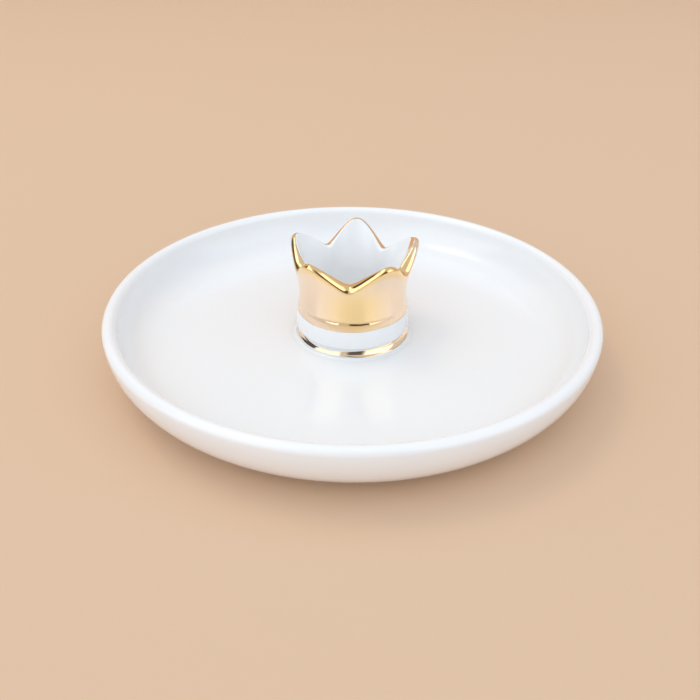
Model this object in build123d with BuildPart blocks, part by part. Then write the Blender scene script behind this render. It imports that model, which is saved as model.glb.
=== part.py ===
from build123d import *
from math import acos, asin, cos, degrees, pi, radians, sin, sqrt
import os

# Ring dish: a shallow round glazed saucer with a small five-pointed crown standing on its
# middle, where rings are dropped over the points. Millimetres, +Z up. The origin is on the
# surface it stands on, under the middle of the dish. -Y is the side nearest the viewer.

# Dish, cast in one piece
dish_diameter = 115.0
dish_height = 15.0
rim_thickness = 3.0
floor_thickness = 3.5
recess_height = 1.8          # underside inside the foot ring, above the table
outer_lift = 0.9             # underside outside the foot ring, above the table
foot_inset = 4.3             # the foot ring stands this far inside the turn of the wall
foot_width = 4.0
foot_side_slope = 0.6
foot_rounding = 0.3

# Slip that joins the crown to the dish's floor, smoothed to a hollow fillet round its edge
slip_thickness = 0.3

# Crown, cast by itself: heights are above its own base
crown_points = 5
crown_turn = 12.8            # degrees from +X to the first point
body_diameter = 25.3
band_step = 0.78             # the band's widest part stands out this far from the body
band_widest = 3.2            # height of that widest part
band_bulge = 18.0            # radius of the band's barrel-shaped side
flare_start = 11.0
tip_lean = 3.0               # the points lean out this far past the body
tip_height = 22.5
valley_height = 17.4
crown_wall = 2.6
cup_floor = 2.5
cup_corner = 2.0
cup_step = 0.15              # the wall stands this far back from the cup's rounded corner
wall_root = 0.4              # how far the wall reaches down into the crown's base
tip_round_share = 0.95       # nearer 1 is sharper
valley_round_share = 0.14    # nearer 0 is sharper
# Shares of the way from a valley to a point at which a section of the wall is drawn
station_shares = (0, 0.08, 0.2, 0.4, 0.6, 0.8, 0.92, 1)

# Gold lustre, painted on over the glaze
lustre_thickness = 0.12
lustre_start = 6.4           # above the crown's base, near the top of the band
lustre_inner_turn = 25.0     # degrees past the crest of the rim, towards the inside
foot_line_height = 1.7       # above the crown's base
cut_overrun = 2.0

# Radii and heights that follow from these
dish_radius = dish_diameter / 2
floor_z = recess_height + floor_thickness
rim_radius = rim_thickness / 2
rim_centre = (dish_radius - rim_radius, dish_height - rim_radius)
inner_turn = rim_centre[1] - floor_z
inner_turn_centre = (dish_radius - rim_thickness - inner_turn, rim_centre[1])
outer_turn = rim_centre[1] - outer_lift
outer_turn_centre = (dish_radius - outer_turn, rim_centre[1])
foot_radius = outer_turn_centre[0] - foot_side_slope - foot_inset

crown_z = floor_z + slip_thickness
body_radius = body_diameter / 2
band_radius = body_radius + band_step
cup_radius = body_radius - crown_wall - cup_step
rim_half = crown_wall / 2
band_centre = (band_radius - band_bulge, crown_z + band_widest)
base_radius = band_centre[0] + sqrt(band_bulge**2 - band_widest**2)

# The wall leans out along arcs about one centre, upright where they start
flare_rise = tip_height - rim_half - flare_start
flare_radius = (flare_rise**2 + tip_lean**2) / (2 * tip_lean)
flare_centre = (body_radius + flare_radius, flare_start)


# Dish: half the section of its floor, wall and foot ring, turned round the axis
with BuildPart() as dish:
    with BuildSketch(Plane.XZ):
        with BuildLine():
            inner_wall = CenterArc(inner_turn_centre, inner_turn, -90, 90)
            CenterArc(rim_centre, rim_radius, 0, 180)
            outer_wall = CenterArc(outer_turn_centre, outer_turn, -90, 90)
            FilletPolyline(
                outer_wall @ 0,
                (foot_radius + foot_side_slope, outer_lift),
                (foot_radius, 0),
                (foot_radius - foot_width, 0),
                (foot_radius - foot_width - foot_side_slope, recess_height),
                (0, recess_height),
                radius=foot_rounding,
            )
            Polyline((0, recess_height), (0, floor_z), inner_wall @ 0)
        make_face()
    revolve(axis=Axis.Z)
dish.part.label = "dish"


# Slip under the crown
with BuildPart() as luting_slip:
    with BuildSketch(Plane.XZ):
        with BuildLine():
            hollow = CenterArc((base_radius + slip_thickness, crown_z), slip_thickness, 180, 90)
            Polyline(hollow @ 0, (0, crown_z), (0, floor_z), hollow @ 1)
        make_face()
    revolve(axis=Axis.Z)
luting_slip.part.label = "luting_slip"


def rise_share(way):
    """Height of the crown's edge from a valley (0) to a point (1): a rounded zigzag."""
    zigzag = asin(tip_round_share * sin(pi / 2 * way)) / asin(tip_round_share)
    lift = sqrt(zigzag**2 + valley_round_share**2) - valley_round_share
    return lift / (sqrt(1 + valley_round_share**2) - valley_round_share)


def half_point_of_wall(grow):
    """The crown's wall from the middle of a valley to a point, thickened all over by grow."""
    outer = body_radius + grow
    inner = body_radius - crown_wall - grow
    root_z = cup_floor + cup_corner - wall_root
    middle_arc = flare_radius + rim_half
    with BuildPart() as half_point:
        for way in station_shares:
            azimuth = way * pi / crown_points
            edge_height = valley_height + (tip_height - valley_height) * rise_share(way)
            lean = asin((edge_height - rim_half - flare_start) / middle_arc)
            crest_centre = (
                flare_centre[0] - middle_arc * cos(lean),
                flare_centre[1] + middle_arc * sin(lean),
            )
            lean = degrees(lean)
            section = Plane(
                origin=(0, 0, crown_z),
                x_dir=(cos(azimuth), sin(azimuth), 0),
                z_dir=(sin(azimuth), -cos(azimuth), 0),
            )
            with BuildSketch(section):
                with BuildLine():
                    Line((outer, root_z), (outer, flare_start))
                    CenterArc(flare_centre, flare_radius - grow, 180, -lean)
                    CenterArc(crest_centre, rim_half + grow, -lean, 180)
                    CenterArc(flare_centre, flare_radius + crown_wall + grow, 180 - lean, lean)
                    Polyline((inner, flare_start), (inner, root_z), (outer, root_z))
                make_face()
        loft()
    return half_point.part


def band_side(grow, top_z):
    """The band's side from the crown's base up to a height: centre, radius, start and turn."""
    side_radius = band_bulge + grow
    below = degrees(asin(band_widest / side_radius))
    above = degrees(asin((top_z - band_centre[1]) / side_radius))
    return band_centre, side_radius, -below, below + above


def crown_form(grow):
    """The whole crown: its base, with the band and the cup's floor, and its pointed wall."""
    half_point = half_point_of_wall(grow)
    first_valley = crown_turn - 180 / crown_points
    # The band's side runs in past the body's face, so that the body stands on it
    shoulder_turn = acos((band_bulge - band_step - cup_step) / (band_bulge + grow))
    shoulder_z = band_centre[1] + (band_bulge + grow) * sin(shoulder_turn)
    cup_corner_centre = (cup_radius - cup_corner, crown_z + cup_floor + cup_corner)
    with BuildPart() as form:
        with BuildSketch(Plane.XZ):
            with BuildLine():
                side = CenterArc(*band_side(grow, shoulder_z))
                corner = CenterArc(cup_corner_centre, cup_corner, -90, 90)
                Polyline(
                    side @ 1,
                    (body_radius - rim_half, cup_corner_centre[1] + rim_half),
                    corner @ 1,
                )
                Polyline(corner @ 0, (0, crown_z + cup_floor), (0, crown_z), side @ 0)
            make_face()
        revolve(axis=Axis.Z)
        with PolarLocations(0, crown_points, start_angle=first_valley):
            add(half_point)
            add(half_point.mirror(Plane.XZ))
    return form.part


with BuildPart() as crown:
    add(crown_form(0))
crown.part.label = "crown"


# Gold on the crown's outside and over its rim: a skin of the thickened crown, kept outside
# an arc that crosses the rim just past its crest
with BuildPart() as crown_gold_lustre:
    add(crown_form(lustre_thickness))
    add(crown.part, mode=Mode.SUBTRACT)
    with BuildSketch(Plane.XZ):
        with BuildLine():
            edge_arc = flare_radius + rim_half + rim_half * sin(radians(lustre_inner_turn))
            over_tip = tip_height + cut_overrun
            outside = body_radius + tip_lean + cut_overrun
            edge_lean = degrees(asin((over_tip - flare_start) / edge_arc))
            arc_centre = (flare_centre[0], crown_z + flare_start)
            gold_edge = CenterArc(arc_centre, edge_arc, 180, -edge_lean)
            Polyline(
                gold_edge @ 1,
                (outside, crown_z + over_tip),
                (outside, crown_z + lustre_start),
                (flare_centre[0] - edge_arc, crown_z + lustre_start),
                gold_edge @ 0,
            )
        make_face()
    revolve(axis=Axis.Z, mode=Mode.INTERSECT)
crown_gold_lustre.part.label = "crown_gold_lustre"


# Gold line round the crown's foot, on the lowest part of the band
with BuildPart() as foot_gold_line:
    with BuildSketch(Plane.XZ):
        with BuildLine():
            under_side = CenterArc(*band_side(0, crown_z + foot_line_height))
            gold_side = CenterArc(*band_side(lustre_thickness, crown_z + foot_line_height))
            Line(under_side @ 0, gold_side @ 0)
            Line(under_side @ 1, gold_side @ 1)
        make_face()
    revolve(axis=Axis.Z)
foot_gold_line.part.label = "foot_gold_line"


os.makedirs("parts", exist_ok=True)
for piece in (dish, luting_slip, crown, crown_gold_lustre, foot_gold_line):
    export_step(piece.part, f"parts/{piece.part.label}.step")
    size = piece.part.bounding_box().size
    print(f"{piece.part.label}: {size.X:.1f} x {size.Y:.1f} x {size.Z:.1f} mm")
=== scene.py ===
# %% [markdown]
# A ring dish: a shallow round porcelain saucer with a small crown on its middle. The packed
# model gives the pieces at their real size. This script gives each its finished shape and
# surface: clear glaze over white porcelain, gold lustre on the crown, and a bare foot ring.

# %% Load the frame
import math

import bmesh
import bpy
import numpy as np
from mathutils import Matrix, Vector


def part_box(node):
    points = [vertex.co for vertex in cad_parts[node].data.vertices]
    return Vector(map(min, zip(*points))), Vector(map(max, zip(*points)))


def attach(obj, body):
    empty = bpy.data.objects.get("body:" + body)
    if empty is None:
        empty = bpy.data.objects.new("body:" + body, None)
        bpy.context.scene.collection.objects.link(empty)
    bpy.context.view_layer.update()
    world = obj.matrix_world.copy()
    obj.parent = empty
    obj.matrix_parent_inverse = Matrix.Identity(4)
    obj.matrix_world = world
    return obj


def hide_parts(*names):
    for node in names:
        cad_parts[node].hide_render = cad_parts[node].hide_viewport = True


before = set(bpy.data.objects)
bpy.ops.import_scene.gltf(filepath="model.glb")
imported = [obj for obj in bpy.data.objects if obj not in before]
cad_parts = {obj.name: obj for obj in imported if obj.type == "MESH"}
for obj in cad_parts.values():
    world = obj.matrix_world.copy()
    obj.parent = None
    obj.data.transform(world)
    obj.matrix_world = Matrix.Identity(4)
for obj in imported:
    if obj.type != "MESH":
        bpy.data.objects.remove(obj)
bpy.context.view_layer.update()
MM = 0.001
dish_low, dish_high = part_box("dish")
crown_low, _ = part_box("crown")
print("pieces in the frame:", sorted(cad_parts))
print("dish", round((dish_high.x - dish_low.x) / MM, 1), "mm across")


# %% [markdown]
# Every finish, node tree and piece below is built with the same few helpers. They add a node
# and join it up, do a step of arithmetic, mix two values or colours, and carry a range over to
# another. A colour is picked in sRGB, as paint charts and photographs give it, and turned into
# the linear values that the renderer works in.

# %% Helpers for nodes, colours and objects
def add_node(tree, kind, inputs=None, **settings):
    """Adds a node, sets its options, and fills or links the inputs that are named."""
    made = tree.nodes.new(kind)
    for name, value in settings.items():
        setattr(made, name, value)
    for socket, value in (inputs or {}).items():
        if isinstance(value, bpy.types.NodeSocket):
            tree.links.new(value, made.inputs[socket])
        else:
            made.inputs[socket].default_value = value
    return made


def work_out(tree, operation, *values, clamp=False):
    """One step of arithmetic on numbers or sockets."""
    return add_node(
        tree, "ShaderNodeMath", dict(enumerate(values)), operation=operation, use_clamp=clamp
    ).outputs[0]


def map_range(tree, value, from_range, to_range=(0.0, 1.0), smooth=False):
    """Carries a range of values over to another, evenly or with soft ends."""
    ends = dict(zip(("From Min", "From Max", "To Min", "To Max"), (*from_range, *to_range)))
    kind = "SMOOTHSTEP" if smooth else "LINEAR"
    return add_node(
        tree, "ShaderNodeMapRange", {"Value": value, **ends}, interpolation_type=kind
    ).outputs["Result"]


def mix_values(tree, share, first, second):
    """The first value where the share is 0 and the second where it is 1."""
    return add_node(tree, "ShaderNodeMix", {"Factor": share, "A": first, "B": second}).outputs[0]


def linear(hex_colour):
    """sRGB hex to a linear RGBA colour."""
    channels = [int(hex_colour[i : i + 2], 16) / 255 for i in (1, 3, 5)]
    return [c / 12.92 if c <= 0.04045 else ((c + 0.055) / 1.055) ** 2.4 for c in channels] + [1.0]


def mix_colours(tree, share, first, second):
    """Mixes colours, which are hex or sockets. A mix node takes them at 6 and 7."""
    first, second = (linear(c) if isinstance(c, str) else c for c in (first, second))
    inputs = {"Factor": share, 6: first, 7: second}
    return add_node(tree, "ShaderNodeMix", inputs, data_type="RGBA").outputs[2]


def start_material(name, hex_colour):
    """A new material with its node tree, its Principled shader and Object coordinates."""
    material = bpy.data.materials.new(name)
    material.use_nodes = True
    material.diffuse_color = linear(hex_colour)
    tree = material.node_tree
    shader = tree.nodes["Principled BSDF"]
    shader.inputs["Base Color"].default_value = linear(hex_colour)
    place = add_node(tree, "ShaderNodeTexCoord").outputs["Object"]
    return material, tree, shader, place


def add_object(name, data):
    """Puts a new object in the scene."""
    made = bpy.data.objects.new(name, data)
    bpy.context.scene.collection.objects.link(made)
    return made


print("middle grey is", round(linear("#808080")[0], 3), "in linear light")


# %% [markdown]
# The dish and the crown are slip-cast porcelain under a clear glaze. The glaze melts level, so
# its surface is smooth like glass, but it isn't flat like a machined one. It keeps a slow
# wave some 15 mm long and a faint orange peel near 2 mm, which is what makes a window's
# reflection waver. Its white is a little uneven, with a tiny speck here and there. A little
# light also sinks into the clay, so shadows stay soft. Noise textures with scales worked out
# from those lengths drive the bump and the roughness.

# %% Glazed porcelain
GLAZE_WAVE_MM, GLAZE_WAVE_DEPTH_MM = 15.0, 0.10
ORANGE_PEEL_MM, ORANGE_PEEL_DEPTH_MM = 2.2, 0.003
GLAZE_ROUGHNESS = (0.13, 0.19)
GLAZE_IOR = 1.52
TONE_PATCH_MM = 30.0
GLAZE_TONES = ("#F7F6F5", "#F4F4F3")
SPECK_COLOUR = "#8A7A68"
SPECK_SPACING_MM = 9.0
SPECK_RADIUS_MM = 0.12
SPECK_CORE_SHARE = 0.4
SPECK_STRENGTH = 0.55
# Light that sinks into the clay: its share, how far it goes, and how far in red, green and blue
SUNK_LIGHT_SHARE = 0.12
SUNK_LIGHT_MM = 1.2
SUNK_LIGHT_REACH = (1.0, 0.8, 0.6)


def noise_of(tree, place, length_mm, detail=2.0):
    """Noise whose lumps are about length_mm long. Object coordinates are in metres."""
    scale = 1.0 / (length_mm * MM)
    return add_node(
        tree, "ShaderNodeTexNoise", {"Vector": place, "Scale": scale, "Detail": detail}
    ).outputs["Fac"]


def bump_of(tree, height, depth_mm, below=None):
    """Bump whose full height is depth_mm, laid over another bump if there is one."""
    inputs = {"Height": height, "Distance": depth_mm * MM, "Strength": 1.0}
    if below is not None:
        inputs["Normal"] = below
    return add_node(tree, "ShaderNodeBump", inputs).outputs["Normal"]


def make_glazed_porcelain():
    material, tree, shader, place = start_material("clear_glaze_on_white_porcelain", "#F6F5F4")
    tone = mix_colours(tree, noise_of(tree, place, TONE_PATCH_MM), *GLAZE_TONES)
    cells = add_node(
        tree, "ShaderNodeTexVoronoi", {"Vector": place, "Scale": 1.0 / (SPECK_SPACING_MM * MM)}
    ).outputs["Distance"]
    speck_edge = SPECK_RADIUS_MM / SPECK_SPACING_MM
    speck = map_range(
        tree, cells, (speck_edge, SPECK_CORE_SHARE * speck_edge), (0.0, SPECK_STRENGTH)
    )
    colour = mix_colours(tree, speck, tone, SPECK_COLOUR)
    tree.links.new(colour, shader.inputs["Base Color"])
    peel = noise_of(tree, place, ORANGE_PEEL_MM, 1.0)
    roughness = map_range(tree, peel, (0.0, 1.0), GLAZE_ROUGHNESS)
    tree.links.new(roughness, shader.inputs["Roughness"])
    wave = bump_of(tree, noise_of(tree, place, GLAZE_WAVE_MM, 1.0), GLAZE_WAVE_DEPTH_MM)
    surface = bump_of(tree, peel, ORANGE_PEEL_DEPTH_MM, wave)
    tree.links.new(surface, shader.inputs["Normal"])
    shader.inputs["IOR"].default_value = GLAZE_IOR
    shader.inputs["Subsurface Weight"].default_value = SUNK_LIGHT_SHARE
    shader.inputs["Subsurface Radius"].default_value = SUNK_LIGHT_REACH
    shader.inputs["Subsurface Scale"].default_value = SUNK_LIGHT_MM * MM
    return material


glaze = make_glazed_porcelain()
print("made", glaze.name, "with a speck about every", SPECK_SPACING_MM, "mm")


# %% [markdown]
# Where the dish stands, the glaze is wiped off so that it doesn't stick to the kiln shelf. The
# bare clay there is matt, a little creamier, and rough like fine chalk.

# %% Bare porcelain
CLAY_GRAIN_MM, CLAY_GRAIN_DEPTH_MM = 0.5, 0.04
CLAY_TONES = ("#EBE5DA", "#DDD4C5")
CLAY_ROUGHNESS = 0.85


def make_bare_porcelain():
    material, tree, shader, place = start_material("bare_bisque_porcelain", "#E6DFD2")
    grain = noise_of(tree, place, CLAY_GRAIN_MM, 4.0)
    tree.links.new(mix_colours(tree, grain, *CLAY_TONES), shader.inputs["Base Color"])
    tree.links.new(bump_of(tree, grain, CLAY_GRAIN_DEPTH_MM), shader.inputs["Normal"])
    shader.inputs["Roughness"].default_value = CLAY_ROUGHNESS
    return material


bare_clay = make_bare_porcelain()
print("made", bare_clay.name)


# %% [markdown]
# Gold lustre is a resin that holds real gold. It is brushed over the fired glaze and fired
# again, which leaves a film far thinner than a hair. It takes the gloss of the glaze under it,
# so it is a bright, pale metal with a slow wave. Brush marks leave faint streaks in its
# roughness. The film is a pale peach gold. It is deeper in a soft patch on the crown's front,
# towards the camera, and on the rim, which got a second stroke. It thins to a pale brown at
# its painted edge. The mesh carries the edge and the second stroke in attributes called
# painted_edge and second_stroke, from 0 to 1.

# %% Gold lustre
BRUSH_MARK_MM, BRUSH_MARK_DEPTH_MM = 1.6, 0.002
LUSTRE_WAVE_MM, LUSTRE_WAVE_DEPTH_MM = 5.0, 0.05
LUSTRE_PATCH_MM, LUSTRE_PATCH_SHARE = 14.0, 0.3
LUSTRE_ROUGHNESS = (0.05, 0.11)
LUSTRE_THIN, LUSTRE_THICK, LUSTRE_EDGE = "#FEE4CB", "#FEDB9F", "#DCC7A2"
# A soft patch of deeper gold on the crown's front, towards the camera: its middle and its reach
DEEP_GOLD_AT_MM = (0.5, -13.0, 17.0)
DEEP_GOLD_REACH_MM = 10.5


def make_gold_lustre():
    material, tree, shader, place = start_material("bright_gold_lustre", "#FEE0BA")
    edge = add_node(tree, "ShaderNodeAttribute", attribute_name="painted_edge").outputs["Fac"]
    second = add_node(tree, "ShaderNodeAttribute", attribute_name="second_stroke").outputs["Fac"]
    brush = noise_of(tree, place, BRUSH_MARK_MM, 3.0)
    patches = noise_of(tree, place, LUSTRE_PATCH_MM, 1.0)
    centre = [value * MM for value in DEEP_GOLD_AT_MM]
    away = add_node(
        tree, "ShaderNodeVectorMath", {0: place, 1: centre}, operation="DISTANCE"
    ).outputs["Value"]
    in_front = map_range(tree, away, (DEEP_GOLD_REACH_MM * MM, 0.0), smooth=True)
    deeper_share = work_out(tree, "MULTIPLY_ADD", patches, LUSTRE_PATCH_SHARE, in_front)
    deeper_share = work_out(tree, "MAXIMUM", deeper_share, second, clamp=True)
    gold = mix_colours(tree, deeper_share, LUSTRE_THIN, LUSTRE_THICK)
    tree.links.new(mix_colours(tree, edge, gold, LUSTRE_EDGE), shader.inputs["Base Color"])
    roughness = map_range(tree, brush, (0.0, 1.0), LUSTRE_ROUGHNESS)
    tree.links.new(roughness, shader.inputs["Roughness"])
    wave = bump_of(tree, noise_of(tree, place, LUSTRE_WAVE_MM, 1.0), LUSTRE_WAVE_DEPTH_MM)
    tree.links.new(bump_of(tree, brush, BRUSH_MARK_DEPTH_MM, wave), shader.inputs["Normal"])
    shader.inputs["Metallic"].default_value = 1.0
    return material


gold_lustre = make_gold_lustre()
print("made", gold_lustre.name)


# %% [markdown]
# The dish, the slip and the crown's foot are round, as a thrown or moulded pot is. Their shape
# is one profile turned about the axis. A small Geometry Nodes tree does what a lathe does: it
# runs the profile round a circle. A real dish also shrinks a little unevenly in the kiln, so
# the finished mesh is then drawn in by about a tenth of a millimetre, here more, there less.

# %% A lathe in Geometry Nodes
LATHE_CIRCLE_MM = 10.0
WELD_MM = 0.002


def start_tree(name, inputs):
    """A new Geometry Nodes tree with its inputs, and with a weld distance and a finish."""
    tree = bpy.data.node_groups.new(name, "GeometryNodeTree")
    for label, kind in (*inputs, ("Weld Distance", "Float"), ("Finish", "Material")):
        tree.interface.new_socket(name=label, in_out="INPUT", socket_type="NodeSocket" + kind)
    tree.interface.new_socket(name="Made", in_out="OUTPUT", socket_type="NodeSocketGeometry")
    return tree, add_node(tree, "NodeGroupInput").outputs


def end_tree(tree, given, geometry):
    """Makes the geometry real, welds what meets in it, and sets its finish."""
    real = add_node(tree, "GeometryNodeRealizeInstances", {"Geometry": geometry}).outputs[0]
    welded = add_node(
        tree,
        "GeometryNodeMergeByDistance",
        {"Geometry": real, "Distance": given["Weld Distance"]},
    ).outputs[0]
    finished = add_node(
        tree, "GeometryNodeSetMaterial", {"Geometry": welded, "Material": given["Finish"]}
    ).outputs[0]
    add_node(tree, "NodeGroupOutput", {"Made": finished})
    return tree


def make_lathe_tree():
    inputs = (("Profile", "Geometry"), ("Circle Radius", "Float"), ("Steps Round", "Int"))
    tree, given = start_tree("pottery_lathe", inputs)
    circle = add_node(
        tree,
        "GeometryNodeCurvePrimitiveCircle",
        {"Resolution": given["Steps Round"], "Radius": given["Circle Radius"]},
    ).outputs["Curve"]
    swept = add_node(
        tree,
        "GeometryNodeCurveToMesh",
        {"Curve": circle, "Profile Curve": given["Profile"]},
    ).outputs["Mesh"]
    return end_tree(tree, given, swept)


def run_tree(source, tree, name, finish, values):
    """Evaluates a node tree on an object and returns the result as a plain mesh object."""
    modifier = source.modifiers.new("nodes", "NODES")
    modifier.node_group = tree
    given = {"Weld Distance": WELD_MM * MM, "Finish": finish, **values}
    for item in tree.interface.items_tree:
        if item.name in given:
            modifier[item.identifier] = given[item.name]
    graph = bpy.context.evaluated_depsgraph_get()
    mesh = bpy.data.meshes.new_from_object(source.evaluated_get(graph), depsgraph=graph)
    bpy.data.objects.remove(source)
    mesh.name = name
    return add_object(name, mesh)


lathe = make_lathe_tree()
print("lathe inputs:", [item.name for item in lathe.interface.items_tree])


# %% [markdown]
# A profile is a list of points, radius and height in millimetres. Straight stretches need few
# points and turns need many, so each arc is drawn by a formula from its centre and radius.

# %% Draw profiles and turn them
DOUBLES_MM = 0.001


def arc(centre, radius, start_degrees, end_degrees, steps):
    """Points along an arc in the profile's plane, ends included."""
    turns = np.radians(np.linspace(start_degrees, end_degrees, steps))
    return [(centre[0] + radius * math.cos(t), centre[1] + radius * math.sin(t)) for t in turns]


def straight(start, end, steps):
    """Points along a straight stretch, without its ends."""
    shares = np.linspace(0, 1, steps + 2)[1:-1]
    return [
        (start[0] + (end[0] - start[0]) * s, start[1] + (end[1] - start[1]) * s) for s in shares
    ]


def rounded_corners(points, radius, steps=5):
    """The corners between the first and last of the points, each rounded off."""
    made = []
    for before, corner, after in zip(points, points[1:], points[2:]):
        b, c, a = Vector(before), Vector(corner), Vector(after)
        to_before, to_after = (b - c).normalized(), (a - c).normalized()
        half = to_before.angle(to_after) / 2
        reach = radius / math.tan(half)
        centre = c + (to_before + to_after).normalized() * (radius / math.sin(half))
        start, end = c + to_before * reach - centre, c + to_after * reach - centre
        turn = start.angle(end)
        for share in np.linspace(0, 1, steps):
            swung = start * (math.sin((1 - share) * turn) / math.sin(turn))
            swung += end * (math.sin(share * turn) / math.sin(turn))
            made.append(tuple(centre + swung))
    return made


def turn_profile(name, points, steps_round, finish):
    """Turns a profile in millimetres into a mesh object."""
    curve = bpy.data.curves.new(name + "_profile", "CURVE")
    curve.dimensions = "3D"
    spline = curve.splines.new("POLY")
    spline.points.add(len(points) - 1)
    for point, (radius, height) in zip(spline.points, points):
        point.co = ((radius - LATHE_CIRCLE_MM) * MM, -height * MM, 0, 1)
    source = add_object(name + "_profile", curve)
    values = {"Circle Radius": LATHE_CIRCLE_MM * MM, "Steps Round": steps_round}
    return run_tree(source, lathe, name, finish, values)


def tidy_mesh(piece):
    """Welds doubles, points the faces outwards and shades the surface smooth."""
    shape = bmesh.new()
    shape.from_mesh(piece.data)
    bmesh.ops.remove_doubles(shape, verts=shape.verts, dist=DOUBLES_MM * MM)
    bmesh.ops.recalc_face_normals(shape, faces=shape.faces)
    open_edges = sum(1 for edge in shape.edges if len(edge.link_faces) != 2)
    shape.to_mesh(piece.data)
    shape.free()
    piece.data.shade_smooth()
    print(piece.name, len(piece.data.polygons), "faces,", open_edges, "open edges")


def shape_by_hand(piece, move):
    """Moves a piece's vertices by a rule."""
    co = np.zeros(len(piece.data.vertices) * 3)
    piece.data.vertices.foreach_get("co", co)
    moved = move(co.reshape(-1, 3))
    piece.data.vertices.foreach_set("co", moved.ravel())
    piece.data.update()
    furthest = float(np.abs(moved.ravel() - co).max() / MM)
    print(piece.name, "moved by up to", round(furthest, 2), "mm")


print("profiles are turned on a circle of", LATHE_CIRCLE_MM, "mm")


# %% [markdown]
# No cast pot is perfectly round. A slow wobble, two, three and five waves round the rim, draws
# the dish in by up to about a tenth of a millimetre and dips its rim by as much.

# %% The hand-made wobble
DISH_WOBBLE_MM = 0.10
# The wobble starts at this radius and is full this much further out
WOBBLE_FROM_MM, WOBBLE_OVER_MM = 30.0, 27.0
# Waves round the rim: how many, how strong, and their turn in radians
DRAW_WAVES = ((2, 1.0, 0.6), (3, 0.6, 2.0), (5, 0.4, 0.0))
DIP_WAVES = ((2, 0.6, 1.1), (3, 0.4, 4.0))


def share_of_waves(angle, waves):
    """Waves laid over one another, brought to a share from 0 to 1."""
    full = sum(strength for _, strength, _ in waves)
    height = sum(strength * np.sin(count * angle + turn) for count, strength, turn in waves)
    return (full + height) / (2 * full)


def dish_wobble(co):
    """Draws points in (never out) and down, by their angle, radius and height."""
    radius = np.hypot(co[:, 0], co[:, 1])
    angle = np.arctan2(co[:, 1], co[:, 0])
    outer_share = np.clip((radius - WOBBLE_FROM_MM * MM) / (WOBBLE_OVER_MM * MM), 0, 1) ** 2
    wobble = outer_share * DISH_WOBBLE_MM * MM
    shrink = 1 - wobble * share_of_waves(angle, DRAW_WAVES) / np.maximum(radius, MM)
    moved = co.copy()
    moved[:, 0] *= shrink
    moved[:, 1] *= shrink
    height_share = np.clip(co[:, 2] / dish_high.z, 0, 1)
    moved[:, 2] -= wobble * share_of_waves(angle, DIP_WAVES) * height_share
    return moved


print("the rim wobbles by up to", DISH_WOBBLE_MM, "mm")


# %% [markdown]
# The dish is a saucer: a nearly level floor, a wall that turns up in one even sweep, a full
# round rim, and a low foot ring underneath. The wall is two arcs that both end upright at the
# rim. The floor of a real one sinks a hair towards the middle in firing.

# %% Turn the dish
DISH_RADIUS_MM = dish_high.x / MM
RIM_THICKNESS_MM = 3.0
RIM_Z_MM = dish_high.z / MM - RIM_THICKNESS_MM / 2
FLOOR_MM = 5.3
FLOOR_SAG_MM = 0.06
FLOOR_TURN_MM = DISH_RADIUS_MM - RIM_THICKNESS_MM - (RIM_Z_MM - FLOOR_MM)
RECESS_MM = 1.8
UNDERSIDE_MM = 0.9
FOOT_RADIUS_MM = 40.0
FOOT_WIDTH_MM = 4.0
FOOT_SLOPE_MM = 0.6
FOOT_ROUNDING_MM = 0.3
# The wall's arcs stop this far short of the rim, whose own arc has the points where they meet
SHORT_OF_RIM_DEGREES = 2.0
# The recess's own points start this far inside the foot ring's corner
INSIDE_CORNER_MM = 1.0
STEPS_ROUND_DISH = 320


def floor_height(radius):
    """The dish's floor at a distance from the axis."""
    share = min(radius / FLOOR_TURN_MM, 1)
    return FLOOR_MM - FLOOR_SAG_MM * math.cos(share * math.pi / 2) ** 2


def dish_profile():
    """From the floor's middle, over the rim and the foot ring, to the recess's middle."""
    rim = RIM_THICKNESS_MM / 2
    inner, outer = RIM_Z_MM - FLOOR_MM, RIM_Z_MM - UNDERSIDE_MM
    points = [(x, floor_height(x)) for x in np.linspace(0, FLOOR_TURN_MM, 20)[:-1]]
    points += arc((FLOOR_TURN_MM, RIM_Z_MM), inner, -90, -SHORT_OF_RIM_DEGREES, 30)
    points += arc((DISH_RADIUS_MM - rim, RIM_Z_MM), rim, 180, 0, 22)
    points += arc((DISH_RADIUS_MM - outer, RIM_Z_MM), outer, -SHORT_OF_RIM_DEGREES, -90, 34)
    wall_turn = (DISH_RADIUS_MM - outer, UNDERSIDE_MM)
    foot_inner = FOOT_RADIUS_MM - FOOT_WIDTH_MM
    foot = [
        (FOOT_RADIUS_MM + FOOT_SLOPE_MM, UNDERSIDE_MM),
        (FOOT_RADIUS_MM, 0),
        (foot_inner, 0),
        (foot_inner - FOOT_SLOPE_MM, RECESS_MM),
    ]
    middle = (0, RECESS_MM)
    points += straight(wall_turn, foot[0], 2)
    points += rounded_corners([wall_turn, *foot, middle], FOOT_ROUNDING_MM)
    points += straight((foot[-1][0] - INSIDE_CORNER_MM, RECESS_MM), middle, 6)
    return points + [middle]


dish = turn_profile("dish_body", dish_profile(), STEPS_ROUND_DISH, glaze)
tidy_mesh(dish)
shape_by_hand(dish, dish_wobble)


# %% [markdown]
# The crown is a short tube. Its foot is a hollow sweep up from the dish, like a cove, under
# the edge of a band with a barrel-shaped side. The body stands on the band, upright, and
# leans out towards its five points. The wall thins as it rises, and its rim is rounded over.

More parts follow.
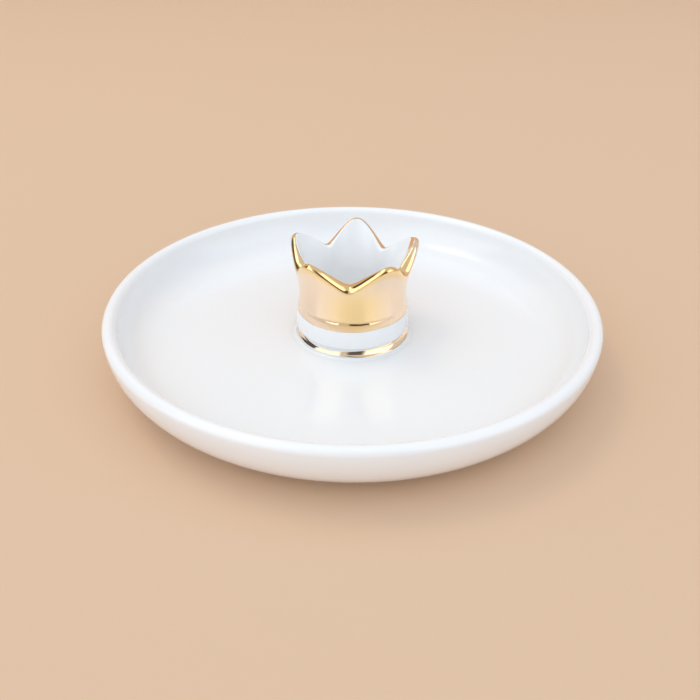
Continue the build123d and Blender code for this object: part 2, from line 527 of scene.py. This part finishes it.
# %% The band's side
BODY_RADIUS_MM = 12.65
BAND_RADIUS_MM = 13.43
BAND_WIDEST_MM = 3.2
BAND_BULGE_MM = 21.0
BAND_TURN_DEGREES = 11.5
SHOULDER_ROUND_MM = 1.6
SHOULDER_DEGREES = 30.0
CREASE_HOLLOW_MM = 0.4
BAND_EDGE_MM = 2.4
BAND_EDGE_ROUND_MM = 0.4
BAND_EDGE_DEGREES = -75.0
NECK_RADIUS_MM = 12.48
HOLLOW_MM = 2.3
HOLLOW_TOP_DEGREES = 184.0
CROWN_BASE_MM = crown_low.z / MM
HOLLOW_POINTS, NECK_POINTS = 16, 2
HOLLOW_CENTRE = (
    NECK_RADIUS_MM + HOLLOW_MM,
    floor_height(NECK_RADIUS_MM + HOLLOW_MM) + HOLLOW_MM - CROWN_BASE_MM,
)
HOLLOW_BASE_DEGREES = 180 + math.degrees(math.asin(HOLLOW_CENTRE[1] / HOLLOW_MM))


def band_points():
    """Outside of the foot and the band, from the base up to the crease under the body."""
    points = arc(
        HOLLOW_CENTRE, HOLLOW_MM, HOLLOW_BASE_DEGREES, HOLLOW_TOP_DEGREES, HOLLOW_POINTS
    )
    edge = (BAND_RADIUS_MM - BAND_EDGE_ROUND_MM, BAND_EDGE_MM)
    under = arc(edge, BAND_EDGE_ROUND_MM, BAND_EDGE_DEGREES, 0, 8)
    points += straight(points[-1], under[0], NECK_POINTS) + under
    side = (BAND_RADIUS_MM - BAND_BULGE_MM, BAND_WIDEST_MM)
    points += arc(side, BAND_BULGE_MM, 0, BAND_TURN_DEGREES, 10)
    low, high = math.radians(BAND_TURN_DEGREES), math.radians(SHOULDER_DEGREES)
    radius = BODY_RADIUS_MM + CREASE_HOLLOW_MM * (1 - math.cos(high))
    round_x = radius - SHOULDER_ROUND_MM * math.cos(high)
    slope = (points[-1][0] - round_x - SHOULDER_ROUND_MM * math.cos(low)) / math.tan(low)
    round_z = points[-1][1] + slope - SHOULDER_ROUND_MM * math.sin(low)
    points += arc((round_x, round_z), SHOULDER_ROUND_MM, BAND_TURN_DEGREES, SHOULDER_DEGREES, 10)
    crease_z = points[-1][1] + CREASE_HOLLOW_MM * math.sin(high)
    hollow = (BODY_RADIUS_MM + CREASE_HOLLOW_MM, crease_z)
    points += arc(hollow, CREASE_HOLLOW_MM, 180 + SHOULDER_DEGREES, 180, 8)[1:]
    return points


print("the crease is", round(band_points()[-1][1], 2), "mm above the crown's base")


# %% [markdown]
# One point of the crown is like the next, so only a fifth of it is drawn: a grid that follows
# the wall's section from the middle of one valley, over a point, to the middle of the next
# valley. A second tree sets five of these panels round the axis and welds their edges.

# %% A panel of the crown
POINTS = 5
FLARE_START_MM = 11.0
FLARE_RADIUS_MM = 21.5
FLARE_CENTRE = (BODY_RADIUS_MM + FLARE_RADIUS_MM, FLARE_START_MM)
TIP_HEIGHT_MM, TIP_HALF_WALL_MM = 22.35, 0.76
VALLEY_HEIGHT_MM, VALLEY_HALF_WALL_MM = 17.55, 1.58
TIP_ROUND_SHARE = 0.94
VALLEY_ROUND_SHARE = 0.22
# How soon the wall thins on the way from a valley to a point, and down inside from the rim
THIN_ROUND_SHARE = 0.1
THIN_POWER = 1.8
INSIDE_POWER = 1.5
# The rim's height over its own middle and over its outer edge, as shares of half the wall
RIM_RISE_SHARE = 0.62
RIM_OUTER_SHARE = 0.95
# The rim's middle and its lean hang together, so they are found in rounds from a first guess
FIRST_LEAN, LEAN_ROUNDS = 0.4, 5
OUTER_POINTS, RIM_POINTS, INNER_POINTS = 18, 21, 17
CUP_RADIUS_MM = 10.05
CUP_FLOOR_MM = 2.5
CUP_CORNER_MM = 2.0
# Points under the crown's base: one out from the middle, one in from the base's edge
BASE_OUT_MM, BASE_IN_MM = 8.0, 0.2
PANEL_COLUMNS = 72


def rounded_start(way, round_share):
    """A way from 0 to 1 with the kink at its start rounded off."""
    start = math.hypot(way, round_share) - round_share
    return start / (math.hypot(1, round_share) - round_share)


def rise_share(way):
    """Height of the edge from a valley (0) to a point (1), with both rounded off."""
    zigzag = math.asin(TIP_ROUND_SHARE * math.sin(math.pi / 2 * way)) / math.asin(TIP_ROUND_SHARE)
    return rounded_start(zigzag, VALLEY_ROUND_SHARE)


def half_wall(way):
    """Half the wall's thickness at the rim, thickest in the valleys, with no kink in them."""
    thinned = 1 - (1 - rounded_start(way, THIN_ROUND_SHARE)) ** THIN_POWER
    return VALLEY_HALF_WALL_MM + (TIP_HALF_WALL_MM - VALLEY_HALF_WALL_MM) * thinned


def lean_at(height, half):
    """How far the wall's middle leans out at a height, in radians."""
    return math.asin((height - FLARE_START_MM) / (FLARE_RADIUS_MM + half))


def on_flare(radius, lean):
    """A point of the flared wall, by its distance from the flare's centre and its lean."""
    return FLARE_CENTRE[0] - radius * math.cos(lean), FLARE_CENTRE[1] + radius * math.sin(lean)


def rim_centre_height(crest, half):
    """Height of the rim's middle under a crest, for the lean that the wall has there."""
    lean, height = FIRST_LEAN, crest
    for _ in range(LEAN_ROUNDS):
        height = crest - math.hypot(half * math.sin(lean), RIM_RISE_SHARE * half * math.cos(lean))
        lean = lean_at(height, half)
    return height


def wall_section(way):
    """Outer face, rim and inner face of the wall at a share of the way to a point."""
    half = half_wall(way)
    low = rim_centre_height(VALLEY_HEIGHT_MM, VALLEY_HALF_WALL_MM)
    high = rim_centre_height(TIP_HEIGHT_MM, TIP_HALF_WALL_MM)
    lean = lean_at(low + (high - low) * rise_share(way), half)
    drop = (RIM_OUTER_SHARE - RIM_RISE_SHARE) * half
    outer_end = 180 - math.degrees(lean - drop / FLARE_RADIUS_MM)
    outer = arc(FLARE_CENTRE, FLARE_RADIUS_MM, 180, outer_end, OUTER_POINTS)
    middle = on_flare(FLARE_RADIUS_MM + half, lean)
    over = []
    for turn in np.linspace(0, math.pi, RIM_POINTS):
        out, up = half * math.cos(turn), RIM_RISE_SHARE * half * math.sin(turn)
        if turn < math.pi / 2:
            up = RIM_RISE_SHARE * half - RIM_OUTER_SHARE * half * (1 - math.sin(turn))
        across = middle[0] + out * math.cos(lean) + up * math.sin(lean)
        over.append((across, middle[1] - out * math.sin(lean) + up * math.cos(lean)))
    inner = []
    full = BODY_RADIUS_MM - CUP_RADIUS_MM
    for share in np.linspace(0, 1, INNER_POINTS):
        wall = 2 * half + (full - 2 * half) * share**INSIDE_POWER
        inner.append(on_flare(FLARE_RADIUS_MM + wall, lean * (1 - share)))
    return outer[:-1] + over + inner[1:]


def whole_section(way):
    """The crown's whole section, from under its middle up and over to the cup's middle."""
    corner = (CUP_RADIUS_MM - CUP_CORNER_MM, CUP_FLOOR_MM + CUP_CORNER_MM)
    band = band_points()
    points = [(0, 0), (BASE_OUT_MM, 0), (band[0][0] - BASE_IN_MM, 0)] + band
    points += straight(points[-1], (BODY_RADIUS_MM, FLARE_START_MM), 6)
    points += wall_section(way)
    points += straight(points[-1], (CUP_RADIUS_MM, corner[1]), 10)
    points += arc(corner, CUP_CORNER_MM, 0, -90, 8)
    points += straight(points[-1], (0, CUP_FLOOR_MM), 4) + [(0, CUP_FLOOR_MM)]
    return points


def turned(section, base_mm, angle):
    """A section's points in metres, at their angle round the axis."""
    return [
        (radius * math.cos(angle) * MM, radius * math.sin(angle) * MM, (base_mm + height) * MM)
        for radius, height in section
    ]


def grid_faces(columns, rows, closed):
    """Faces of a grid of points, open, or closed into a ring both ways."""
    faces = []
    for column in range(columns if closed else columns - 1):
        here, there = column * rows, (column + 1) % columns * rows
        for row in range(rows if closed else rows - 1):
            after = (row + 1) % rows
            faces.append((here + row, there + row, there + after, here + after))
    return faces


def make_crown_panel():
    """One fifth of the crown as a grid, its point in the middle, at angle zero."""
    vertices = []
    for share in np.linspace(-1, 1, PANEL_COLUMNS + 1):
        section = whole_section(1 - abs(share))
        vertices += turned(section, CROWN_BASE_MM, share * math.pi / POINTS)
    mesh = bpy.data.meshes.new("crown_panel")
    mesh.from_pydata(vertices, [], grid_faces(PANEL_COLUMNS + 1, len(section), closed=False))
    print("panel:", PANEL_COLUMNS, "columns of", len(section), "points")
    return add_object("crown_panel", mesh)


panel = make_crown_panel()


# %% Set five panels round the axis
CROWN_TURN_DEGREES = 13.6


def make_round_tree():
    inputs = (("Panel", "Geometry"), ("Panels", "Int"), ("First Turn", "Float"))
    tree, given = start_tree("panels_round_an_axis", inputs)
    places = add_node(tree, "GeometryNodePoints", {"Count": given["Panels"]}).outputs[0]
    number = add_node(tree, "GeometryNodeInputIndex").outputs[0]
    step = work_out(tree, "DIVIDE", 2 * math.pi, given["Panels"])
    turn = work_out(tree, "MULTIPLY_ADD", number, step, given["First Turn"])
    rotation = add_node(
        tree, "FunctionNodeAxisAngleToRotation", {"Axis": (0, 0, 1), "Angle": turn}
    ).outputs[0]
    placed = add_node(
        tree,
        "GeometryNodeInstanceOnPoints",
        {"Points": places, "Instance": given["Panel"], "Rotation": rotation},
    ).outputs[0]
    return end_tree(tree, given, placed)


turns = {"Panels": POINTS, "First Turn": math.radians(CROWN_TURN_DEGREES)}
crown = run_tree(panel, make_round_tree(), "crown_body", glaze, turns)
tidy_mesh(crown)


# %% [markdown]
# A hand trimmed these points while the clay was soft, so no two are quite alike. Each point and
# each valley is a few tenths of a millimetre higher or lower than the rule, and one point leans
# out a little more. The move grows with height, so the body and the band stay true.

# %% Make the points uneven
CROWN_SHIFT_MM = (0.03, -0.12)
POINT_LIFT_MM = (-0.10, 0.30, -0.05, -0.18, -0.02)
VALLEY_LIFT_MM = (-0.35, 0.40, 0.0, -0.05, 0.20)
POINT_LEAN_MM = (0.40, 0.0, 0.0, 0.0, 0.10)
LEAN_PER_LIFT = 0.4
UNEVEN_FROM_MM = 9.0
RISE_LIMIT = 1.1


def eased(way):
    """A way from 0 to 1 with both ends soft."""
    return way * way * (3 - 2 * way)


def uneven_crown(co):
    """Lifts and leans the crown's points, the first of which is the one on the right."""
    turn = (np.degrees(np.arctan2(co[:, 1], co[:, 0])) - CROWN_TURN_DEGREES) / (360 / POINTS)
    nearest = np.round(turn)
    way = eased(1 - 2 * np.abs(turn - nearest))
    point = nearest.astype(int) % POINTS
    valley = np.floor(turn).astype(int) % POINTS
    lift = np.array(POINT_LIFT_MM)[point] * way + np.array(VALLEY_LIFT_MM)[valley] * (1 - way)
    lean = np.array(POINT_LEAN_MM)[point] * way + LEAN_PER_LIFT * lift
    above_mm = co[:, 2] / MM - CROWN_BASE_MM - UNEVEN_FROM_MM
    rise = np.clip(above_mm / (TIP_HEIGHT_MM - UNEVEN_FROM_MM), 0, RISE_LIMIT) ** 2
    outward = 1 + lean * rise * MM / np.maximum(np.hypot(co[:, 0], co[:, 1]), MM)
    moved = co.copy()
    moved[:, 0] = co[:, 0] * outward + CROWN_SHIFT_MM[0] * MM
    moved[:, 1] = co[:, 1] * outward + CROWN_SHIFT_MM[1] * MM
    moved[:, 2] += lift * rise * MM
    return moved


shape_by_hand(crown, uneven_crown)


# %% [markdown]
# The slip was pushed into the corner round the crown's foot with a wet brush, and the glaze
# ran over it. It carries the foot's hollow sweep on, out to where it fades into the floor.

# %% Turn the slip's fillet
SLIP_UNDER_FLOOR_MM = 0.2
STEPS_ROUND_SLIP = 240


def fillet_points():
    """The end of the hollow sweep, from the floor in to the crown's base, above the table."""
    centre = (HOLLOW_CENTRE[0], HOLLOW_CENTRE[1] + CROWN_BASE_MM)
    return arc(centre, HOLLOW_MM, 270, HOLLOW_BASE_DEGREES, 14)


def slip_profile():
    hollow = fillet_points()
    below = floor_height(0) - SLIP_UNDER_FLOOR_MM
    return [(0, below), (hollow[0][0], below)] + hollow + [(0, CROWN_BASE_MM)]


slip = turn_profile("slip_fillet", slip_profile(), STEPS_ROUND_SLIP, glaze)
tidy_mesh(slip)
shape_by_hand(slip, uneven_crown)


# %% [markdown]
# Gold lustre is painted on, so its edges aren't turned or repeated: they waver with the hand
# that held the brush. A coat is drawn as a thin shell that follows the surface under it. It
# runs along each section from a wavering start to a wavering end, and sinks below the glaze at
# both, so that it has no step. Its edge and its second stroke are marked in attributes for the
# finish to use.

# %% Paint a coat
COAT_MM = 0.05
COAT_EDGE_MM = 0.35
COAT_SUNK_MM = 0.02
COAT_UNDER_MM = 0.08
# The painted edge shows this far in from where the coat ends
EDGE_MARK_MM = 0.56
EDGE_MARK_POWER = 1.5
# The second stroke is this strong at the sides, and more in front and less behind by as much
STROKE_STRENGTH, STROKE_SWING = 0.7, 0.3
# How far ahead and behind a path's direction is read
LOOK_MM = 0.05
COAT_ROWS = 44
COAT_COLUMNS = 540


def along(path, distances):
    """Points and outward normals at distances along a path of radius and height."""
    path = np.array(path)
    run = np.concatenate([[0], np.cumsum(np.hypot(*np.diff(path, axis=0).T))])

    def spots_at(lengths):
        return np.stack([np.interp(lengths, run, path[:, k]) for k in (0, 1)], 1)

    along_path = spots_at(distances + LOOK_MM) - spots_at(distances - LOOK_MM)
    along_path /= np.maximum(np.hypot(*along_path.T), 1e-9)[:, None]
    return spots_at(distances), np.stack([along_path[:, 1], -along_path[:, 0]], 1)


def paint_coat(name, path_at, start_at, end_at, base_mm, stroke_mm):
    """A closed thin shell over the surface whose sections path_at gives at each angle."""
    vertices, edge_marks, stroke_marks = [], [], []
    # The rows stand closer together towards both edges
    row_shares = 0.5 - 0.5 * np.cos(np.linspace(0, np.pi, COAT_ROWS))
    under_marks = [1.0] * COAT_ROWS
    for column in range(COAT_COLUMNS):
        angle = 2 * math.pi * column / COAT_COLUMNS
        start, end = start_at(angle), end_at(angle)
        distances = start + (end - start) * row_shares
        spots, normals = along(path_at(angle), distances)
        from_edge = np.minimum(distances - start, end - distances)
        inside = np.clip(from_edge / COAT_EDGE_MM, 0, 1)
        lift = COAT_MM * (inside * (2 - inside)) - COAT_SUNK_MM * (1 - inside)
        outer = spots + normals * lift[:, None]
        under = (spots - normals * COAT_UNDER_MM)[::-1]
        vertices += turned(np.concatenate([outer, under]), base_mm, angle)
        near = 1 - np.clip(from_edge / EDGE_MARK_MM, 0, 1)
        edge_marks += list(near**EDGE_MARK_POWER) + under_marks
        strength = STROKE_STRENGTH - STROKE_SWING * math.sin(angle)
        second = np.clip(stroke_mm - (end - distances), 0, 1) * strength
        stroke_marks += list(second) + under_marks
    mesh = bpy.data.meshes.new(name)
    mesh.from_pydata(vertices, [], grid_faces(COAT_COLUMNS, 2 * COAT_ROWS, closed=True))
    for label, marks in (("painted_edge", edge_marks), ("second_stroke", stroke_marks)):
        mesh.attributes.new(label, "FLOAT", "POINT").data.foreach_set("value", marks)
    mesh.materials.append(gold_lustre)
    return add_object(name, mesh)


def waver(angle, size, waves, shift):
    """A slow uneven swing, as a hand-held brush leaves."""
    total = sum(math.sin(n * angle + shift * (k + 1) + n) / (k + 1) for k, n in enumerate(waves))
    return size * total


print("a coat is", COAT_MM, "mm thick and sinks over its last", COAT_EDGE_MM, "mm")


# %% Paint the crown's outside and rim
LUSTRE_LOW_MM = 6.3
PATH_START_MM = 5.0
SECOND_STROKE_MM = 3.8
# Degrees past the crest of the rim, on each point and in each valley, from the right round
POINT_PAINT_DEGREES = (60.0, 82.0, 60.0, 68.0, 68.0)
VALLEY_PAINT_DEGREES = (34.0, 28.0, 60.0, 68.0, 60.0)
# Inside the point on the right the gold ran further down: where, how wide, and how much more
RUN_AT_DEGREES, RUN_REACH_DEGREES, RUN_PAST_DEGREES = 3.0, 18.0, 75.0
# Size, waves round and shift of the swing, in mm below and as a share of the rim's turn above
LOW_EDGE_WAVER = (0.08, (2, 3, 7, 13), 0.7)
INNER_EDGE_WAVER = (0.02, (4, 9, 17), 1.9)


def way_to_point(angle):
    """0 in the middle of a valley and 1 at a point, at an angle round the crown."""
    turn = (math.degrees(angle) - CROWN_TURN_DEGREES) % (360 / POINTS)
    return abs(1 - turn / (180 / POINTS))


def crown_path(angle):
    """The crown's outside from the band's upper part, over the rim and into the cup."""
    band = [point for point in band_points() if point[1] > PATH_START_MM]
    body = straight(band[-1], (BODY_RADIUS_MM, FLARE_START_MM), 6)
    return band + body + wall_section(way_to_point(angle))


def length_to(path, index):
    """Length along a path up to one of its points."""
    return float(np.hypot(*np.diff(np.array(path[: index + 1]), axis=0).T).sum())


def paint_starts(angle):
    """The gold's lower edge, as a length along the crown's path."""
    path = crown_path(angle)
    above = next(k for k, point in enumerate(path) if point[1] > LUSTRE_LOW_MM)
    return length_to(path, above) + waver(angle, *LOW_EDGE_WAVER)


def paint_ends(angle):
    """The gold's edge inside the rim, as a length along the crown's path."""
    path = crown_path(angle)
    turn = (math.degrees(angle) - CROWN_TURN_DEGREES) / (360 / POINTS)
    point, valley = round(turn) % POINTS, math.floor(turn) % POINTS
    way = eased(way_to_point(angle))
    degrees = POINT_PAINT_DEGREES[point] * way + VALLEY_PAINT_DEGREES[valley] * (1 - way)
    from_run = (math.degrees(angle) - RUN_AT_DEGREES + 180) % 360 - 180
    degrees += RUN_PAST_DEGREES * max(0.0, 1 - (from_run / RUN_REACH_DEGREES) ** 2)
    rim_share = (90 + degrees) / 180 + waver(angle, *INNER_EDGE_WAVER)
    step = rim_share * (RIM_POINTS - 1)
    first = len(path) - (RIM_POINTS + INNER_POINTS - 1) + int(step)
    near, far = length_to(path, first), length_to(path, first + 1)
    return near + (far - near) * (step % 1)


crown_gold = paint_coat(
    "crown_gold", crown_path, paint_starts, paint_ends, CROWN_BASE_MM, SECOND_STROKE_MM
)
tidy_mesh(crown_gold)
shape_by_hand(crown_gold, uneven_crown)


# %% Paint the line round the foot
FOOT_LINE_LOW_MM = 1.15
FOOT_LINE_HIGH_MM = 3.5
FOOT_STROKE_MM = 0.6
# Where the brush lifted, in degrees round the crown from the right, and by how much
LOW_EDGE_RAISED_AT, LOW_EDGE_RAISED_MM = 215.0, 0.45
HIGH_EDGE_LEFT_AT, HIGH_EDGE_LEFT_MM = 238.0, 1.1
HIGH_EDGE_RIGHT_AT, HIGH_EDGE_RIGHT_MM = -25.0, 0.6
LINE_LOW_WAVER = (0.06, (2, 5, 9), 2.6)
LINE_HIGH_WAVER = (0.04, (5, 8), 0.3)


def foot_path(angle):
    """From the floor up the hollow sweep to the band's edge, the same at every angle."""
    sweep = band_points()[: HOLLOW_POINTS + NECK_POINTS + 1]
    return fillet_points()[:-1] + [(radius, CROWN_BASE_MM + height) for radius, height in sweep]


def swell(angle, at_degrees):
    """1 at an angle round the crown, fading to 0 a quarter turn from it."""
    return max(0.0, math.cos(angle - math.radians(at_degrees))) ** 2


def foot_line_starts(angle):
    """The line's lower edge, as a length along the foot's path."""
    raised = LOW_EDGE_RAISED_MM * swell(angle, LOW_EDGE_RAISED_AT)
    return FOOT_LINE_LOW_MM + raised + waver(angle, *LINE_LOW_WAVER)


def foot_line_ends(angle):
    """The line's upper edge, as a length along the foot's path."""
    left = HIGH_EDGE_LEFT_MM * swell(angle, HIGH_EDGE_LEFT_AT) ** 2
    right = HIGH_EDGE_RIGHT_MM * swell(angle, HIGH_EDGE_RIGHT_AT)
    return FOOT_LINE_HIGH_MM - left - right + waver(angle, *LINE_HIGH_WAVER)


foot_gold = paint_coat(
    "foot_gold", foot_path, foot_line_starts, foot_line_ends, 0.0, FOOT_STROKE_MM
)
tidy_mesh(foot_gold)
shape_by_hand(foot_gold, uneven_crown)


# %% [markdown]
# Each piece stands for the plain solid that the frame holds in its place. The foot ring's face
# gets the bare clay: its faces are the ones that lie within a hair of the table.

# %% Put the pieces in the frame
BARE_BELOW_MM = 0.25


def bare_foot_ring(piece):
    piece.data.materials.append(bare_clay)
    bare = [face for face in piece.data.polygons if face.center.z < BARE_BELOW_MM * MM]
    for face in bare:
        face.material_index = 1
    print(piece.name, len(bare), "bare faces on the foot ring")


bare_foot_ring(dish)
for piece, node, slot in (
    (dish, "dish", "white_glaze"),
    (crown, "crown", "white_glaze"),
    (slip, "luting_slip", "fired_slip"),
    (crown_gold, "crown_gold_lustre", "gold_lustre"),
    (foot_gold, "foot_gold_line", "gold_lustre"),
):
    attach(piece, "root")
    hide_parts(node)
    print(piece.name, "stands for", node)


# %% [markdown]
# The studio is a sand-coloured paper that turns up into a backdrop far behind. A small warm
# lamp stands high at the left. It shapes the dish a little, and most of the light is the room's
# own, which is soft, a little stronger from overhead and from the front left.

# %% Floor and backdrop
PAPER_GRAIN_MM, PAPER_GRAIN_DEPTH_MM = 4.0, 0.02
PAPER_ROUGHNESS = 0.9
# Metres: half the paper's width and its reach to the front, where it bends up, and its height
PAPER_REACH, PAPER_BEND_AT, PAPER_BEND, PAPER_HEIGHT = 1.6, 0.9, 0.35, 1.3


def make_stage():
    material, tree, shader, place = start_material("matt_sand_paper", "#DFBE9F")
    shader.inputs["Roughness"].default_value = PAPER_ROUGHNESS
    grain = noise_of(tree, place, PAPER_GRAIN_MM, 3.0)
    tree.links.new(bump_of(tree, grain, PAPER_GRAIN_DEPTH_MM), shader.inputs["Normal"])
    bend = arc((PAPER_BEND_AT, PAPER_BEND), PAPER_BEND, -90, 0, 13)
    rows = [(-PAPER_REACH, 0.0), *bend, (PAPER_BEND_AT + PAPER_BEND, PAPER_HEIGHT)]
    vertices = [(x, y, z) for y, z in rows for x in (-PAPER_REACH, PAPER_REACH)]
    faces = [(2 * k, 2 * k + 1, 2 * k + 3, 2 * k + 2) for k in range(len(rows) - 1)]
    mesh = bpy.data.meshes.new("studio_floor")
    mesh.from_pydata(vertices, [], faces)
    mesh.materials.append(material)
    floor = add_object("studio_floor", mesh)
    floor.data.shade_smooth()
    print("floor and backdrop", 2 * PAPER_REACH, "m wide")


make_stage()


# %% The lamp
LAMP_AZIMUTH, LAMP_ELEVATION, LAMP_DISTANCE = -108.0, 65.0, 1.0
LAMP_SIZE = (0.34, 0.26)
LAMP_WATTS = 0.95
LAMP_COLOUR = "#FFDAA4"
LAMP_AIM = (0, 0, 0.01)


def place_round(azimuth, elevation, distance):
    """A place by its azimuth from the camera's side, to the right, and its elevation."""
    turn, rise = math.radians(azimuth), math.radians(elevation)
    level = distance * math.cos(rise)
    return Vector((level * math.sin(turn), -level * math.cos(turn), distance * math.sin(rise)))


def add_lamp():
    light = bpy.data.lights.new("high_window_left", "AREA")
    light.shape = "RECTANGLE"
    light.size, light.size_y = LAMP_SIZE
    light.energy = LAMP_WATTS
    light.color = linear(LAMP_COLOUR)[:3]
    lamp = add_object("high_window_left", light)
    lamp.location = place_round(LAMP_AZIMUTH, LAMP_ELEVATION, LAMP_DISTANCE)
    lamp.rotation_euler = (Vector(LAMP_AIM) - lamp.location).to_track_quat("-Z", "Y").to_euler()
    print(lamp.name, "lights with", LAMP_WATTS, "W")


add_lamp()


# %% [markdown]
# The world's colour depends only on direction. Matt surfaces are lit by a plain room without
# cards. The room that gloss and metal reflect has a few cards in it, as a photographer sets
# them round bright metal: bright ones at the right and in front on the left, dark ones at the
# camera's place, low in front and at the left, a thin bright strip behind, and a dimmer stretch
# along the horizon. They draw the gold's dark and bright lines and take no light from the
# porcelain. Azimuth is counted from the camera's side, to the right; elevation from the
# horizon. Each card is a window in both, with soft edges.

# %% The room round the dish
# Light on matt surfaces: low down and overhead, and the elevation from which it rises
LIGHT_LOW, LIGHT_OVERHEAD = 1.025, 1.32
LIGHT_RISES_FROM_DEGREES = 20.0
# The share by which it is stronger from the front left, and weaker from the opposite side
FRONT_LIGHT_SHARE, FRONT_LIGHT_AZIMUTH = 0.27, -35.0
ROOM_COLOUR = "#EAF4FF"
# The room's brightness to the camera, in reflections, and in reflections along the horizon
SEEN_ROOM = 0.9
REFLECTED_ROOM = 0.66
HORIZON_BRIGHTNESS = 0.50
HORIZON_DEGREES = 8.0
CARDS = (
    # name, middle azimuth, half width, middle elevation, half height, soft edge, brightness
    ("wall_right", 60, 29, 22, 27, 5, 1.5),
    ("window_front_left", -57, 26, 30, 32, 6, 1.55),
    ("left_card", -103, 18, 24, 16, 5, 0.10),
    ("camera_card", 6, 13, 30, 14, 8, 0.12),
    ("lens_card", 14, 18, 4, 12, 4, 0.06),
    ("strip_behind", 178, 2, 36, 8, 3, 1.2),
)


def in_window(tree, angle, middle, half, soft):
    """1 within half of the middle, in degrees, fading to 0 over the soft edge."""
    away = work_out(tree, "SUBTRACT", angle, middle)
    away = work_out(tree, "ABSOLUTE", work_out(tree, "WRAP", away, -180.0, 180.0))
    return map_range(tree, away, (half + soft, half), smooth=True)


def reflected_room(tree, azimuth, elevation):
    """The brightness that gloss and metal see, with the cards set one after another."""
    brightness = map_range(
        tree,
        elevation,
        (0.0, HORIZON_DEGREES),
        (HORIZON_BRIGHTNESS, REFLECTED_ROOM),
        smooth=True,
    )
    for name, azimuth_at, half_width, elevation_at, half_height, soft, card in CARDS:
        across = in_window(tree, azimuth, azimuth_at, half_width, soft)
        upwards = in_window(tree, elevation, elevation_at, half_height, soft)
        inside = work_out(tree, "MULTIPLY", across, upwards)
        brightness = mix_values(tree, inside, brightness, card)
        print(name, "at", azimuth_at, "degrees round and", elevation_at, "up")
    return brightness


def room_light(tree, x, y, elevation):
    """The light on matt surfaces, stronger from overhead and from the front left."""
    from_low = map_range(
        tree,
        elevation,
        (LIGHT_RISES_FROM_DEGREES, 90.0),
        (LIGHT_LOW, LIGHT_OVERHEAD),
        smooth=True,
    )
    turn = math.radians(FRONT_LIGHT_AZIMUTH)
    sideways = work_out(tree, "MULTIPLY", x, math.sin(turn))
    forward = work_out(tree, "MULTIPLY_ADD", y, -math.cos(turn), sideways)
    from_front = work_out(tree, "MULTIPLY_ADD", forward, FRONT_LIGHT_SHARE, 1.0)
    return work_out(tree, "MULTIPLY", from_low, from_front)


def make_room():
    world = bpy.data.worlds.new("pale_room_with_cards")
    bpy.context.scene.world = world
    world.use_nodes = True
    tree = world.node_tree
    direction = add_node(tree, "ShaderNodeTexCoord").outputs["Generated"]
    x, y, z = add_node(tree, "ShaderNodeSeparateXYZ", {0: direction}).outputs
    towards_camera = work_out(tree, "MULTIPLY", y, -1.0)
    azimuth = work_out(tree, "DEGREES", work_out(tree, "ARCTAN2", x, towards_camera))
    elevation = work_out(tree, "DEGREES", work_out(tree, "ARCSINE", z))
    light = room_light(tree, x, y, elevation)
    reflected = reflected_room(tree, azimuth, elevation)
    rays = add_node(tree, "ShaderNodeLightPath").outputs
    strength = mix_values(tree, rays["Is Glossy Ray"], light, reflected)
    strength = mix_values(tree, rays["Is Camera Ray"], strength, SEEN_ROOM)
    colour = mix_colours(tree, rays["Is Glossy Ray"], ROOM_COLOUR, "#FFFFFF")
    background = tree.nodes["Background"]
    tree.links.new(colour, background.inputs["Color"])
    tree.links.new(strength, background.inputs["Strength"])


make_room()
bpy.context.scene.view_settings.view_transform = "Standard"


# %% [markdown]
# The camera stands close, some 18 cm from the middle of the dish, and looks down at about 32
# degrees. That is what the picture's perspective gives for a dish of this width.

# %% Camera
CAMERA_DISTANCE_MM = 180.0
CAMERA_DOWN_DEGREES = 32.35
CAMERA_ROLL_DEGREES = 0.39
TARGET_MM = (-0.49, 0.0, -0.87)
PIXELS_PER_MM = 4.0111
FRAME_PIXELS = 700
SENSOR_MM = 36.0
CLIP_START, CLIP_END = 0.01, 20


def make_camera():
    down, roll = math.radians(CAMERA_DOWN_DEGREES), math.radians(CAMERA_ROLL_DEGREES)
    forward = Vector((0, math.cos(down), -math.sin(down)))
    level, upright = Vector((1, 0, 0)), Vector((0, math.sin(down), math.cos(down)))
    right = level * math.cos(roll) + upright * math.sin(roll)
    up = upright * math.cos(roll) - level * math.sin(roll)
    camera = add_object("camera", bpy.data.cameras.new("camera"))
    place = (Vector(TARGET_MM) - forward * CAMERA_DISTANCE_MM) * MM
    turn = Matrix((right, up, -forward)).transposed()
    camera.matrix_world = Matrix.Translation(place) @ turn.to_4x4()
    camera.data.sensor_width = SENSOR_MM
    camera.data.lens = PIXELS_PER_MM * CAMERA_DISTANCE_MM * SENSOR_MM / FRAME_PIXELS
    camera.data.clip_start = CLIP_START
    camera.data.clip_end = CLIP_END
    bpy.context.scene.camera = camera
    print("lens", round(camera.data.lens, 2), "mm")


make_camera()
